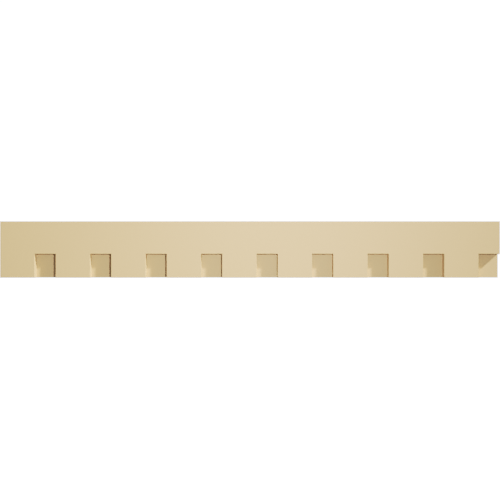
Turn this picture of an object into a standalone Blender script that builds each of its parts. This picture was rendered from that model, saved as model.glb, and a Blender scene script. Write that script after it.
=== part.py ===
# Dentil moulding: a plain band with a row of square teeth hanging from it, moulded in one
# piece. Metres, +Z up. The origin is at the centre of the flat back face, +X runs along the
# strip to its right end, and the front looks along -Y. Tooth and gap widths are those at the
# front, because the gaps narrow a little towards their back.

import math

import bmesh
import bpy
from mathutils import Matrix

# Driving sizes, each with its size in inches
TOOTH_WIDTH = 0.08255        # 3 1/4
GAP_WIDTH = 0.0508           # 2
TOOTH_HEIGHT = 0.05715       # 2 1/4, from the band's lower edge down to the tips
BAND_HEIGHT = 0.0777875      # 3 1/16, the plain band above the teeth
GAP_DEPTH = 0.015875         # 5/8, how far the teeth stand out of the web
WEB_THICKNESS = 0.009525     # 3/8, the sheet that closes each gap at the back
DRAFT_ANGLE = math.radians(3)  # how far a gap's sides and ceiling lean in, to leave the mould
REPEATS = 9                  # teeth, each with the gap to its right
EDGE_RADIUS = 0.0004         # softened front and lower edges
EDGE_SEGMENTS = 3

# Sizes that follow from them
PITCH = TOOTH_WIDTH + GAP_WIDTH
LENGTH = REPEATS * PITCH
HEIGHT = BAND_HEIGHT + TOOTH_HEIGHT
THICKNESS = WEB_THICKNESS + GAP_DEPTH
LEFT_END = -LENGTH / 2
RIGHT_END = LENGTH / 2
TOP = HEIGHT / 2
BOTTOM = -HEIGHT / 2
FRONT = -THICKNESS
BACK = 0.0

# A cutter runs this far past each face that it opens
CUTTER_OVERRUN = 0.01
# A face angle above this makes an edge that can be softened
SHARP_ANGLE = math.radians(45)
# How near an edge has to be to a plane to count as lying in it
ON_PLANE = 1e-5

PRIMER_COLOUR = (0.54, 0.355, 0.16, 1.0)
PRIMER_ROUGHNESS = 0.65


def clear_scene():
    for thing in list(bpy.data.objects):
        bpy.data.objects.remove(thing, do_unlink=True)


def new_collection(name):
    collection = bpy.data.collections.new(name)
    bpy.context.scene.collection.children.link(collection)
    return collection


def add_block(name, low, high, collection):
    # A box between two corners, placed by its centre
    size = [upper - lower for lower, upper in zip(low, high)]
    centre = [(lower + upper) / 2 for lower, upper in zip(low, high)]
    bm = bmesh.new()
    bmesh.ops.create_cube(bm, size=1.0, matrix=Matrix.Diagonal((*size, 1.0)))
    mesh = bpy.data.meshes.new(name)
    bm.to_mesh(mesh)
    bm.free()
    block = bpy.data.objects.new(name, mesh)
    block.location = centre
    collection.objects.link(block)
    return block


def lean_in(cutter):
    # Both sides and the ceiling lean in as they go back, from full size at the teeth's front
    for vertex in cutter.data.vertices:
        behind_front = cutter.location.y + vertex.co.y - FRONT
        inset = behind_front * math.tan(DRAFT_ANGLE)
        if vertex.co.z > 0:
            vertex.co.z -= inset
        outward = math.copysign(1.0, vertex.co.x)
        vertex.co.x -= outward * inset


def add_gap_cutter(index, collection):
    left = LEFT_END + index * PITCH + TOOTH_WIDTH
    right = left + GAP_WIDTH
    # The last gap has no tooth after it, so it is open at the right end
    if index == REPEATS - 1:
        right += CUTTER_OVERRUN
    low = (left, FRONT - CUTTER_OVERRUN, BOTTOM - CUTTER_OVERRUN)
    high = (right, FRONT + GAP_DEPTH, BOTTOM + TOOTH_HEIGHT)
    cutter = add_block("gap_cutter_%02d" % (index + 1), low, high, collection)
    lean_in(cutter)
    cutter.hide_render = True
    cutter.display_type = 'WIRE'
    return cutter


def cut_gaps(moulding, cutters):
    cut = moulding.modifiers.new("gaps", 'BOOLEAN')
    cut.operation = 'DIFFERENCE'
    cut.solver = 'EXACT'
    cut.operand_type = 'COLLECTION'
    cut.collection = cutters
    depsgraph = bpy.context.evaluated_depsgraph_get()
    cut_mesh = bpy.data.meshes.new_from_object(moulding.evaluated_get(depsgraph))
    moulding.modifiers.clear()
    moulding.data = cut_mesh


def soften_edges(moulding):
    # The edges that the mould forms are rounded. The back and the sawn ends keep theirs sharp,
    # so the strip lies tight on a wall and butts against the next length
    bm = bmesh.new()
    bm.from_mesh(moulding.data)
    weight = bm.edges.layers.float.new("bevel_weight_edge")
    for edge in bm.edges:
        middle = moulding.matrix_world @ ((edge.verts[0].co + edge.verts[1].co) / 2)
        outer = edge.calc_face_angle_signed(0.0) > SHARP_ANGLE
        on_back = middle.y > BACK - ON_PLANE
        on_end = middle.x < LEFT_END + ON_PLANE or middle.x > RIGHT_END - ON_PLANE
        if outer and not on_back and not on_end:
            edge[weight] = 1.0
    bm.to_mesh(moulding.data)
    bm.free()
    rounding = moulding.modifiers.new("soft_edges", 'BEVEL')
    rounding.limit_method = 'WEIGHT'
    rounding.width = EDGE_RADIUS
    rounding.segments = EDGE_SEGMENTS


def primer():
    material = bpy.data.materials.new("tan_primer")
    material.use_nodes = True
    shader = material.node_tree.nodes["Principled BSDF"]
    shader.inputs["Base Color"].default_value = PRIMER_COLOUR
    shader.inputs["Roughness"].default_value = PRIMER_ROUGHNESS
    shader.inputs["Metallic"].default_value = 0.0
    return material


def build():
    clear_scene()
    parts = new_collection("Dentil moulding")
    cutters = new_collection("Gap cutters")
    moulding = add_block("dentil_moulding", (LEFT_END, FRONT, BOTTOM),
                         (RIGHT_END, BACK, TOP), parts)
    for index in range(REPEATS):
        add_gap_cutter(index, cutters)
    bpy.context.view_layer.update()
    cut_gaps(moulding, cutters)
    soften_edges(moulding)
    moulding.data.materials.clear()
    moulding.data.materials.append(primer())


build()
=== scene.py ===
import math

import bpy
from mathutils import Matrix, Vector


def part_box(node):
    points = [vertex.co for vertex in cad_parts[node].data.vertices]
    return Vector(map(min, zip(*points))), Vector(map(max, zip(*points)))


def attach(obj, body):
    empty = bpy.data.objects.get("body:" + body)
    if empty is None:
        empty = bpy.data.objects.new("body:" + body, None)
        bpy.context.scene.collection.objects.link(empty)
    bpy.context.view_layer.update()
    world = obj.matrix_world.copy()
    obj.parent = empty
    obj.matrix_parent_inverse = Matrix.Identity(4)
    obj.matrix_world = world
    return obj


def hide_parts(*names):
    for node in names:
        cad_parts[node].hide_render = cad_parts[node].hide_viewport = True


# The strip's finish, its studio and the camera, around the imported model
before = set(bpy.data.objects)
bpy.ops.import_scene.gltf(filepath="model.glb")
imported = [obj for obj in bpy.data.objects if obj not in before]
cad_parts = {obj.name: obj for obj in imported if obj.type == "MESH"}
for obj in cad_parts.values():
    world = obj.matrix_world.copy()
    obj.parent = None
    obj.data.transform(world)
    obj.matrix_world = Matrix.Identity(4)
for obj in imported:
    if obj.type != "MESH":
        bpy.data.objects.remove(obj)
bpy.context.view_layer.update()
print("frame loaded")


def addNode(tree, kind, place, **settings):
    node = tree.nodes.new(kind)
    node.location = place
    for key, value in settings.items():
        setattr(node, key, value)
    return node


def feed(node, sources):
    # Each input, by name or number, takes a link from another node or a plain value
    for key, source in sources.items():
        if isinstance(source, bpy.types.NodeSocket):
            node.id_data.links.new(source, node.inputs[key])
        else:
            node.inputs[key].default_value = source
    return node


def newGroup(name, kind, inputs, outputs, reach=900):
    # Gives the group, what comes into it by name, and the node that puts its results out
    tree = bpy.data.node_groups.new(name, kind)
    for sockets, way in ((inputs, 'INPUT'), (outputs, 'OUTPUT')):
        for socketName, socketKind in sockets.items():
            tree.interface.new_socket(socketName, in_out=way, socket_type='NodeSocket' + socketKind)
    groupIn = addNode(tree, "NodeGroupInput", (-reach, 0))
    groupOut = addNode(tree, "NodeGroupOutput", (reach, 0))
    return tree, groupIn.outputs, groupOut


def mathNode(tree, operation, place, *sources):
    node = addNode(tree, "ShaderNodeMath", place, operation=operation)
    return feed(node, dict(enumerate(sources))).outputs[0]


def vectorNode(tree, place, **axes):
    return feed(addNode(tree, "ShaderNodeCombineXYZ", place), axes).outputs[0]


def scaledNode(tree, place, vector, factor):
    # A colour or a direction, times a number
    node = addNode(tree, "ShaderNodeVectorMath", place, operation='SCALE')
    return feed(node, {0: vector, "Scale": factor}).outputs[0]


def noiseNode(tree, place, vector, scale, detail, roughness):
    node = addNode(tree, "ShaderNodeTexNoise", place)
    feed(node, {"Vector": vector, "Scale": scale, "Detail": detail, "Roughness": roughness})
    return node.outputs["Fac"]


# Shader groups that the finishes are mixed from
def cloudGroup():
    # Slow changes of tone over the surface
    tree, given, result = newGroup(
        "softClouds", 'ShaderNodeTree',
        {"Vector": 'Vector', "Size": 'Float', "Amount": 'Float', "Colour": 'Color'},
        {"Colour": 'Color', "Mask": 'Float'})
    scale = mathNode(tree, 'DIVIDE', (-600, 100), 1.0, given["Size"])
    cloud = noiseNode(tree, (-300, 100), given["Vector"], scale, detail=4.0, roughness=0.55)
    centred = mathNode(tree, 'MULTIPLY_ADD', (0, 100), cloud, 2.0, -1.0)
    factor = mathNode(tree, 'MULTIPLY_ADD', (300, 100), centred, given["Amount"], 1.0)
    toned = scaledNode(tree, (600, 100), given["Colour"], factor)
    feed(result, {"Colour": toned, "Mask": cloud})
    return tree


def toothGroup():
    # Height of a fine, even tooth
    tree, given, result = newGroup(
        "fineTooth", 'ShaderNodeTree',
        {"Vector": 'Vector', "Size": 'Float', "Depth": 'Float'}, {"Height": 'Float'})
    scale = mathNode(tree, 'DIVIDE', (-600, 100), 1.0, given["Size"])
    grain = noiseNode(tree, (-200, 100), given["Vector"], scale, detail=2.0, roughness=0.5)
    feed(result, {"Height": mathNode(tree, 'MULTIPLY', (200, 100), grain, given["Depth"])})
    return tree


def strokeGroup():
    # Long marks along X and Y, fine across Z: sanding on the back, saw marks on the ends
    tree, given, result = newGroup(
        "toolStrokes", 'ShaderNodeTree',
        {"Vector": 'Vector', "Length": 'Float', "Width": 'Float'}, {"Mask": 'Float'})
    along = mathNode(tree, 'DIVIDE', (-600, 150), 1.0, given["Length"])
    across = mathNode(tree, 'DIVIDE', (-600, -50), 1.0, given["Width"])
    stretch = vectorNode(tree, (-300, 50), X=along, Y=along, Z=across)
    placed = addNode(tree, "ShaderNodeVectorMath", (0, 50), operation='MULTIPLY')
    feed(placed, {0: given["Vector"], 1: stretch})
    stroke = noiseNode(tree, (300, 50), placed.outputs[0], scale=1.0, detail=3.0, roughness=0.6)
    feed(result, {"Mask": stroke})
    return tree


def pitGroup():
    # Round hollows, one to a cell and each of its own size
    coreShare = 0.4              # the deepest part of a hollow, out to this share of its rim
    tree, given, result = newGroup(
        "openCells", 'ShaderNodeTree',
        {"Vector": 'Vector', "Spacing": 'Float', "Radius": 'Float'}, {"Mask": 'Float'})
    scale = mathNode(tree, 'DIVIDE', (-700, 150), 1.0, given["Spacing"])
    cells = addNode(tree, "ShaderNodeTexVoronoi", (-500, 150))
    feed(cells, {"Vector": given["Vector"], "Scale": scale})
    chance = feed(addNode(tree, "ShaderNodeSeparateColor", (-250, 0)), {0: cells.outputs["Color"]})
    widest = mathNode(tree, 'MULTIPLY', (-250, -200), given["Radius"], scale)
    rim = mathNode(tree, 'MULTIPLY', (0, -50), chance.outputs["Red"], widest)
    core = mathNode(tree, 'MULTIPLY', (200, -50), rim, coreShare)
    pit = addNode(tree, "ShaderNodeMapRange", (450, 150), interpolation_type='SMOOTHSTEP')
    feed(pit, {"Value": cells.outputs["Distance"], "From Min": core, "From Max": rim,
               "To Min": 1.0, "To Max": 0.0})
    feed(result, {"Mask": pit.outputs["Result"]})
    return tree


def groupNode(tree, group, place, **sources):
    return feed(addNode(tree, "ShaderNodeGroup", place, node_tree=group), sources).outputs


def newMaterial(name, roughness):
    material = bpy.data.materials.new(name)
    material.use_nodes = True
    shader = material.node_tree.nodes["Principled BSDF"]
    shader.inputs["Roughness"].default_value = roughness
    return material, shader


def objectCoordinates(tree):
    return addNode(tree, "ShaderNodeTexCoord", (-1300, 0)).outputs["Object"]


def addBump(tree, shader, height):
    bump = feed(addNode(tree, "ShaderNodeBump", (-250, -400)),
                {"Strength": 1.0, "Distance": 1.0, "Height": height})
    feed(shader, {"Normal": bump.outputs["Normal"]})


# Primer on the moulded faces: linear colours, lengths in metres
primerLook = {
    "colour": (0.539, 0.354, 0.160),
    "roughness": 0.62,
    "roughnessSwing": 0.05,      # the coat is a little drier in some places
    "cloudSize": 0.09,           # broad, faint changes of tone
    "cloudAmount": 0.012,
    "grainSize": 0.0011,         # the sprayed coat's fine tooth
    "grainDepth": 0.00006,
    "rippleSize": 0.007,         # slow waves that it levelled out into
    "rippleDepth": 0.00008,
}


def primerMaterial(clouds, tooth):
    look = primerLook
    material, shader = newMaterial("tanPrimer", look["roughness"])
    tree = material.node_tree
    surface = objectCoordinates(tree)
    tone = groupNode(tree, clouds, (-1000, 200), Vector=surface, Size=look["cloudSize"],
                     Amount=look["cloudAmount"], Colour=(*look["colour"], 1.0))
    smoothest = look["roughness"] - look["roughnessSwing"] / 2
    dryness = mathNode(tree, 'MULTIPLY_ADD', (-250, 0), tone["Mask"], look["roughnessSwing"], smoothest)
    feed(shader, {"Base Color": tone["Colour"], "Roughness": dryness})
    grain = groupNode(tree, tooth, (-1000, -300), Vector=surface, Size=look["grainSize"],
                      Depth=look["grainDepth"])
    ripple = groupNode(tree, tooth, (-1000, -500), Vector=surface, Size=look["rippleSize"],
                       Depth=look["rippleDepth"])
    addBump(tree, shader, mathNode(tree, 'ADD', (-500, -400), grain["Height"], ripple["Height"]))
    return material


# Bare foam on the sanded back and the sawn ends
foamLook = {
    "colour": (0.630, 0.485, 0.280),
    # painted shade for the insides of the open bubbles and cells
    "poreShadeColour": (0.330, 0.220, 0.105),
    "roughness": 0.85,
    "cloudSize": 0.05,
    "cloudAmount": 0.07,
    "grainSize": 0.0009,
    "grainDepth": 0.00010,
    "strokeLength": 0.3,         # sanding and saw marks run along the strip and through it
    "strokeWidth": 0.0016,
    "strokeAmount": 0.09,
    "strokeDepth": 0.00008,
    "bubbleSpacing": 0.009,      # the few large bubbles that the sanding opened
    "bubbleRadius": 0.0014,
    "bubbleDepth": 0.0006,
    "cellSpacing": 0.0022,       # the foam's own fine cells
    "cellRadius": 0.0005,
    "cellDepth": 0.0002,
}


def foamMaterial(clouds, tooth, strokes, pits):
    look = foamLook
    material, shader = newMaterial("bareFoam", look["roughness"])
    tree = material.node_tree
    surface = objectCoordinates(tree)
    tone = groupNode(tree, clouds, (-1000, 300), Vector=surface, Size=look["cloudSize"],
                     Amount=look["cloudAmount"], Colour=(*look["colour"], 1.0))
    marks = groupNode(tree, strokes, (-1000, 100), Vector=surface, Length=look["strokeLength"],
                      Width=look["strokeWidth"])
    bubbles = groupNode(tree, pits, (-1000, -100), Vector=surface, Spacing=look["bubbleSpacing"],
                        Radius=look["bubbleRadius"])
    cells = groupNode(tree, pits, (-1000, -300), Vector=surface, Spacing=look["cellSpacing"],
                      Radius=look["cellRadius"])
    grain = groupNode(tree, tooth, (-1000, -500), Vector=surface, Size=look["grainSize"],
                      Depth=look["grainDepth"])

    # Marks lighten and darken the tone, and the open bubbles and cells get painted shade inside
    amount = look["strokeAmount"]
    swing = mathNode(tree, 'MULTIPLY_ADD', (-750, 100), marks["Mask"], 2.0 * amount, 1.0 - amount)
    stroked = scaledNode(tree, (-500, 250), tone["Colour"], swing)
    paintedPoreShade = mathNode(tree, 'MAXIMUM', (-500, 50), bubbles["Mask"], cells["Mask"])
    mixed = addNode(tree, "ShaderNodeMix", (-250, 200), data_type='RGBA')
    feed(mixed, {"Factor": paintedPoreShade, "A": stroked, "B": (*look["poreShadeColour"], 1.0)})
    feed(shader, {"Base Color": mixed.outputs["Result"]})

    height = grain["Height"]
    for across, mask, depth in ((-800, marks, look["strokeDepth"]), (-630, bubbles, -look["bubbleDepth"]),
                                (-460, cells, -look["cellDepth"])):
        height = mathNode(tree, 'MULTIPLY_ADD', (across, -500), mask["Mask"], depth, height)
    addBump(tree, shader, height)
    return material


# Parts of the strip's node tree, from left to right
def stockBlock(tree, size):
    # Whole block, with its back on the wall's plane
    extent = vectorNode(tree, (-1500, 600), X=size["Length"], Y=size["Thickness"], Z=size["Height"])
    block = feed(addNode(tree, "GeometryNodeMeshCube", (-1300, 600)), {"Size": extent})
    middle = mathNode(tree, 'MULTIPLY', (-1500, 450), size["Thickness"], -0.5)
    moved = addNode(tree, "GeometryNodeTransform", (-1100, 600))
    feed(moved, {"Geometry": block.outputs["Mesh"],
                 "Translation": vectorNode(tree, (-1300, 450), Y=middle)})
    return moved.outputs["Geometry"]


def positionParts(tree, place):
    position = addNode(tree, "GeometryNodeInputPosition", (place[0] - 200, place[1]))
    return feed(addNode(tree, "ShaderNodeSeparateXYZ", place), {0: position.outputs[0]}).outputs


def gapCutter(tree):
    # A unit cube that grows right, forward and down from its upper left back corner
    cube = addNode(tree, "GeometryNodeMeshCube", (-1500, -300))
    moved = addNode(tree, "GeometryNodeTransform", (-1300, -300))
    feed(moved, {"Geometry": cube.outputs["Mesh"], "Translation": (0.5, -0.5, -0.5)})
    # Each corner remembers which way its side leans in: left 1, right -1, top -1
    corner = positionParts(tree, (-1300, -500))
    leanX = mathNode(tree, 'MULTIPLY_ADD', (-1100, -450), corner["X"], -2.0, 1.0)
    leanZ = mathNode(tree, 'MULTIPLY_ADD', (-1100, -600), corner["Z"], -1.0, -1.0)
    leaning = addNode(tree, "GeometryNodeStoreNamedAttribute", (-700, -300),
                      data_type='FLOAT_VECTOR', domain='POINT')
    feed(leaning, {"Geometry": moved.outputs["Geometry"], "Name": "lean",
                   "Value": vectorNode(tree, (-900, -500), X=leanX, Z=leanZ)})
    return leaning.outputs["Geometry"]


def gapRow(tree, size):
    # Upper left back corners of the gaps, one pitch apart
    halfLength = mathNode(tree, 'MULTIPLY', (-1500, 250), size["Length"], 0.5)
    halfHeight = mathNode(tree, 'MULTIPLY', (-1500, 100), size["Height"], 0.5)
    left = mathNode(tree, 'SUBTRACT', (-1300, 250), size["Tooth Width"], halfLength)
    back = mathNode(tree, 'SUBTRACT', (-1300, 100), size["Gap Depth"], size["Thickness"])
    ceiling = mathNode(tree, 'SUBTRACT', (-1300, -50), size["Tooth Height"], halfHeight)
    row = addNode(tree, "GeometryNodeMeshLine", (-900, 150), mode='OFFSET')
    feed(row, {"Count": size["Repeats"],
               "Start Location": vectorNode(tree, (-1100, 200), X=left, Y=back, Z=ceiling),
               "Offset": vectorNode(tree, (-1100, 50), X=size["Pitch"])})
    return row.outputs["Mesh"]


def cutterSize(tree, size):
    # The last gap has no tooth after it, so its cutter runs out through the right end
    index = addNode(tree, "GeometryNodeInputIndex", (-1500, -800)).outputs[0]
    beforeLast = mathNode(tree, 'SUBTRACT', (-1500, -900), size["Repeats"], 1.5)
    isLast = mathNode(tree, 'GREATER_THAN', (-1300, -800), index, beforeLast)
    gapWidth = mathNode(tree, 'SUBTRACT', (-1300, -950), size["Pitch"], size["Tooth Width"])
    wide = mathNode(tree, 'MULTIPLY_ADD', (-1100, -800), isLast, size["Overrun"], gapWidth)
    deep = mathNode(tree, 'ADD', (-1100, -950), size["Gap Depth"], size["Overrun"])
    tall = mathNode(tree, 'ADD', (-1100, -1100), size["Tooth Height"], size["Overrun"])
    return vectorNode(tree, (-900, -900), X=wide, Y=deep, Z=tall)


def leanIn(tree, size, cutters):
    # Draft: every side leans in by its share of the depth behind the teeth's front
    place = positionParts(tree, (-700, -500))
    depth = mathNode(tree, 'ADD', (-500, -500), place["Y"], size["Thickness"])
    slope = mathNode(tree, 'TANGENT', (-500, -650), size["Draft"])
    inset = mathNode(tree, 'MULTIPLY', (-300, -500), depth, slope)
    lean = addNode(tree, "GeometryNodeInputNamedAttribute", (-500, -350), data_type='FLOAT_VECTOR')
    feed(lean, {"Name": "lean"})
    drafted = addNode(tree, "GeometryNodeSetPosition", (0, -100))
    feed(drafted, {"Geometry": cutters,
                   "Offset": scaledNode(tree, (-150, -350), lean.outputs["Attribute"], inset)})
    return drafted.outputs["Geometry"]


def rawFaces(tree, size):
    # The sanded back and the sawn ends: 1 on them, 0 elsewhere
    nearPlane = 0.0001           # how near a plane counts as on it
    place = positionParts(tree, (200, -300))
    onBack = mathNode(tree, 'GREATER_THAN', (600, -400), place["Y"], -nearPlane)
    reach = mathNode(tree, 'ABSOLUTE', (400, -200), place["X"])
    endPlane = mathNode(tree, 'MULTIPLY_ADD', (400, -50), size["Length"], 0.5, -nearPlane)
    onEnd = mathNode(tree, 'GREATER_THAN', (600, -200), reach, endPlane)
    return mathNode(tree, 'MAXIMUM', (800, -300), onBack, onEnd)


def markEdges(tree, geometry, isRaw):
    # Outer edges that the mould forms are marked for rounding
    sharpAngle = math.radians(45)
    angle = addNode(tree, "GeometryNodeInputMeshEdgeAngle", (600, -600)).outputs["Signed Angle"]
    isOuter = mathNode(tree, 'GREATER_THAN', (800, -600), angle, sharpAngle)
    isMoulded = mathNode(tree, 'SUBTRACT', (1000, -400), isOuter, isRaw)
    mark = addNode(tree, "GeometryNodeStoreNamedAttribute", (800, 300), data_type='FLOAT', domain='EDGE')
    feed(mark, {"Geometry": geometry, "Name": "bevel_weight_edge",
                "Value": mathNode(tree, 'MAXIMUM', (1200, -400), isMoulded, 0.0)})
    return mark.outputs["Geometry"]


def dentilTree(primer, foam):
    sizes = ("Length", "Height", "Thickness", "Tooth Width", "Pitch", "Tooth Height", "Gap Depth",
             "Draft", "Overrun")
    tree, size, result = newGroup("dentilRun", 'GeometryNodeTree',
                                  {**dict.fromkeys(sizes, 'Float'), "Repeats": 'Int'},
                                  {"Geometry": 'Geometry'}, reach=1800)
    cutters = addNode(tree, "GeometryNodeInstanceOnPoints", (-500, 100))
    feed(cutters, {"Points": gapRow(tree, size), "Instance": gapCutter(tree),
                   "Scale": cutterSize(tree, size)})
    loose = addNode(tree, "GeometryNodeRealizeInstances", (-250, 100))
    feed(loose, {"Geometry": cutters.outputs["Instances"]})
    cut = addNode(tree, "GeometryNodeMeshBoolean", (200, 300), operation='DIFFERENCE', solver='EXACT')
    feed(cut, {"Mesh 1": stockBlock(tree, size),
               "Mesh 2": leanIn(tree, size, loose.outputs["Geometry"])})
    clean = addNode(tree, "GeometryNodeRemoveAttribute", (500, 300))
    feed(clean, {"Geometry": cut.outputs["Mesh"], "Name": "lean"})
    isRaw = rawFaces(tree, size)
    marked = markEdges(tree, clean.outputs["Geometry"], isRaw)
    whole = feed(addNode(tree, "GeometryNodeRealizeInstances", (1000, 300)), {"Geometry": marked})
    coat = addNode(tree, "GeometryNodeSetMaterial", (1250, 300))
    feed(coat, {"Geometry": whole.outputs["Geometry"], "Material": primer})
    bare = addNode(tree, "GeometryNodeSetMaterial", (1500, 300))
    feed(bare, {"Geometry": coat.outputs["Geometry"], "Selection": isRaw, "Material": foam})
    feed(result, {"Geometry": bare.outputs["Geometry"]})
    return tree


def plainMesh(thing, name):
    # The evaluated result as a mesh of its own, with no modifiers left
    depsgraph = bpy.context.evaluated_depsgraph_get()
    mesh = bpy.data.meshes.new_from_object(thing.evaluated_get(depsgraph), depsgraph=depsgraph)
    thing.modifiers.clear()
    mesh.name = name
    thing.data = mesh


# What the strip looks like: its outer size comes from the frame
strip = {
    "node": "dentil_moulding",
    "slot": "tan_primer",
    "repeats": 9,                # teeth, each with the gap to its right
    "toothWidth": 0.08255,
    "toothHeight": 0.05715,
    "gapDepth": 0.015875,
    "draft": math.radians(3),    # the gap's sides lean, so that the strip leaves its mould
    "edgeRadius": 0.0004,        # where the mould and the primer round an edge
    "edgeSegments": 4,
    "cutterOverrun": 0.01,       # how far a gap's cutter stands out of the strip
}


def makeStrip(primer, foam):
    low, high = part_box(strip["node"])
    length, thickness, height = Vector(high) - Vector(low)
    values = {
        "Length": length, "Height": height, "Thickness": thickness,
        "Pitch": length / strip["repeats"],
        "Tooth Width": strip["toothWidth"], "Tooth Height": strip["toothHeight"],
        "Gap Depth": strip["gapDepth"], "Draft": strip["draft"], "Overrun": strip["cutterOverrun"],
        "Repeats": strip["repeats"],
    }
    name = "dentilStrip"
    piece = bpy.data.objects.new(name, bpy.data.meshes.new(name))
    bpy.context.scene.collection.objects.link(piece)
    run = piece.modifiers.new("dentilRun", 'NODES')
    run.node_group = dentilTree(primer, foam)
    for socket in run.node_group.interface.items_tree:
        if socket.in_out == 'INPUT':
            run[socket.identifier] = values[socket.name]
    rounding = piece.modifiers.new("softEdges", 'BEVEL')
    rounding.limit_method = 'WEIGHT'
    rounding.width = strip["edgeRadius"]
    rounding.segments = strip["edgeSegments"]
    plainMesh(piece, name)
    piece.data.materials.pop(index=0)  # the empty slot that the block came with
    print("strip made:", len(piece.data.polygons), "faces")
    return piece


studio = {
    "ambient": 0.311,            # even light from all sides
    "whiteLevel": 2.2,           # this radiance prints as pure white
    "groundLevel": 2.31,         # the ground behind the strip, a little past white
    "floorDrop": 0.9,            # the floor is this far below the strip's centre
    "floorSize": 30.0,
    "floorTone": 0.9,
    "floorRoughness": 0.9,
    "keyPlace": (11.5, -4.45, 10.0),  # far to the upper right, so its shadows are crisp
    "keyRadius": 0.4,
    "keyPower": 29000.0,
    "fillPlace": (0.17, -1.12, 0.12),  # near the front's middle, and weaker towards the ends
    "fillAim": (-0.563, 0.0, 0.0),
    "fillSize": 0.02,
    "fillPower": 17.2,
    "backPlace": (-2.0, 2.2, 0.4),  # lights the back and the left end, which the camera doesn't see
    "backSize": 1.6,
    "backPower": 130.0,
}


def makeFloor():
    # Pale and evenly lit, so that it prints as white as the ground behind the strip
    half = studio["floorSize"] / 2
    level = -studio["floorDrop"]
    mesh = bpy.data.meshes.new("floor")
    corners = [(-half, -half, level), (half, -half, level), (half, half, level), (-half, half, level)]
    mesh.from_pydata(corners, [], [(0, 1, 2, 3)])
    floor = bpy.data.objects.new("floor", mesh)
    bpy.context.scene.collection.objects.link(floor)
    material, shader = newMaterial("paleFloor", studio["floorRoughness"])
    tone = studio["floorTone"]
    feed(shader, {"Base Color": (tone, tone, tone, 1.0), "Emission Color": (1.0, 1.0, 1.0, 1.0),
                  "Emission Strength": studio["whiteLevel"]})
    mesh.materials.append(material)
    # Its glow is for the eye only: the strip takes its even light from the world
    floor.visible_diffuse = False
    floor.visible_glossy = False
    floor.visible_shadow = False


def makeWorld():
    # The eye sees a white ground, and the strip is lit by a softer one
    world = bpy.data.worlds.new("studioWhite")
    world.use_nodes = True
    tree = world.node_tree
    tree.nodes.clear()
    white = (1.0, 1.0, 1.0, 1.0)
    seen = addNode(tree, "ShaderNodeBackground", (-200, 150))
    feed(seen, {"Color": white, "Strength": studio["groundLevel"]})
    glow = addNode(tree, "ShaderNodeBackground", (-200, 0))
    feed(glow, {"Color": white, "Strength": studio["ambient"]})
    path = addNode(tree, "ShaderNodeLightPath", (-200, 500))
    mix = addNode(tree, "ShaderNodeMixShader", (50, 100))
    feed(mix, {0: path.outputs["Is Camera Ray"], 1: glow.outputs[0], 2: seen.outputs[0]})
    feed(addNode(tree, "ShaderNodeOutputWorld", (250, 100)), {"Surface": mix.outputs[0]})
    bpy.context.scene.world = world


def addLight(name, kind, place, power, aim=(0.0, 0.0, 0.0), **settings):
    light = bpy.data.lights.new(name, kind)
    light.energy = power
    for key, value in settings.items():
        setattr(light, key, value)
    lamp = bpy.data.objects.new(name, light)
    lamp.location = place
    lamp.rotation_mode = 'QUATERNION'
    lamp.rotation_quaternion = (Vector(aim) - Vector(place)).to_track_quat('-Z', 'Y')
    lamp.visible_camera = False
    bpy.context.scene.collection.objects.link(lamp)


def makeLights():
    addLight("key", 'POINT', studio["keyPlace"], studio["keyPower"], shadow_soft_size=studio["keyRadius"])
    addLight("fill", 'AREA', studio["fillPlace"], studio["fillPower"], studio["fillAim"],
             shape='DISK', size=studio["fillSize"])
    addLight("back", 'AREA', studio["backPlace"], studio["backPower"], size=studio["backSize"])


cameraSetup = {
    "lens": 52.4,
    "sensor": 36.0,
    "distance": 1.748,           # from the teeth's front faces
    "aside": 0.0002,             # to the right, from the strip's centre
    "up": -0.0011,
}


def makeCamera():
    setup = cameraSetup
    camera = bpy.data.cameras.new("camera")
    camera.lens = setup["lens"]
    camera.sensor_width = setup["sensor"]
    eye = bpy.data.objects.new("camera", camera)
    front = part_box(strip["node"])[0][1]
    eye.location = (setup["aside"], front - setup["distance"], setup["up"])
    eye.rotation_euler = (math.radians(90), 0.0, 0.0)
    bpy.context.scene.collection.objects.link(eye)
    bpy.context.scene.camera = eye


# How light prints, both linear: a power of it up to the knee, and a logarithm beyond
toneCurve = {
    "knee": 0.4,
    "kneeTone": 0.38,
    "toePower": 0.92,
    "bend": 0.45,                # smaller turns sooner
    "shoulder": 0.31,            # larger climbs further
    "reach": 1.8,                # from this light on it runs straight to white
    "steps": 12,                 # points that the curve is drawn through, up to there
}


def printedTone(light):
    knee = toneCurve["knee"]
    if light < knee:
        return toneCurve["kneeTone"] * (light / knee) ** toneCurve["toePower"]
    climb = math.log1p((light - knee) / toneCurve["bend"])
    return toneCurve["kneeTone"] + toneCurve["shoulder"] * climb


def setTone():
    # Bright tones roll off before white, each colour by itself, as in the photograph
    view = bpy.context.scene.view_settings
    view.view_transform = 'Standard'
    view.look = 'None'
    view.use_curve_mapping = True
    mapping = view.curve_mapping
    white = studio["whiteLevel"]
    mapping.white_level = (white, white, white)
    combined = mapping.curves[3]
    for step in range(1, toneCurve["steps"] + 1):
        light = toneCurve["reach"] * step / toneCurve["steps"]
        combined.points.new(light / white, printedTone(light))
    mapping.update()


clouds = cloudGroup()
tooth = toothGroup()
primer = primerMaterial(clouds, tooth)
foam = foamMaterial(clouds, tooth, strokeGroup(), pitGroup())
print("finishes made:", primer.name, "and", foam.name)

dentilStrip = makeStrip(primer, foam)
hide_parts(strip["node"])
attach(dentilStrip, "root")

makeFloor()
makeWorld()
makeLights()
makeCamera()
setTone()
print("studio ready")
